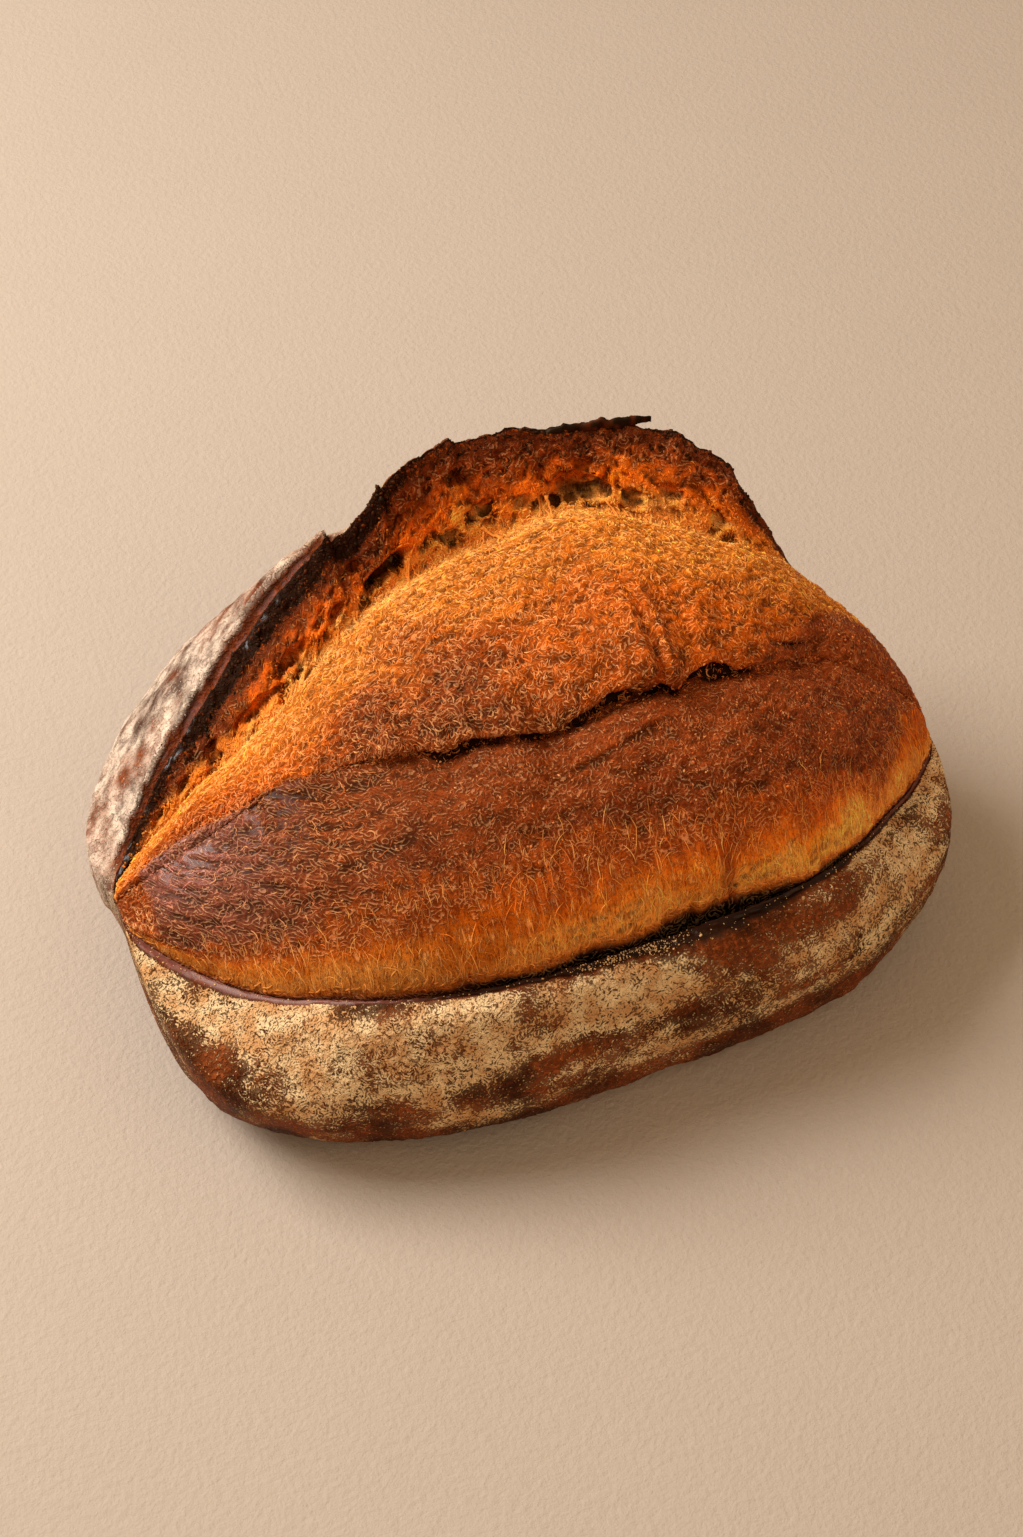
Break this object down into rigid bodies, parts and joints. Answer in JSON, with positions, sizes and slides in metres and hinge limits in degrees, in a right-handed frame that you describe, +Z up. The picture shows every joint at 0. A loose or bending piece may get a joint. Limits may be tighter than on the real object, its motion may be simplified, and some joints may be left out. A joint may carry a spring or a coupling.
{
  "type": "sourdough loaf",
  "caption": "Oval sourdough loaf with a flat foot, opened along a long slash into a wide golden bloom, with a tall torn ear behind it and a floured crust.",
  "frame": {"origin": "middle of the loaf's footprint, on the surface that it rests on", "axes": "+X along the loaf, towards the end where the ear sinks back into the crust; +Y towards the ear; +Z up"},
  "size_m": [0.2464, 0.1828, 0.1283],
  "materials": {
    "crust": "matte, rough browned bread crust, dusted with flour"
  },
  "bodies": {
    "root": {"loaf": "crust"}
  },
  "joints": []
}
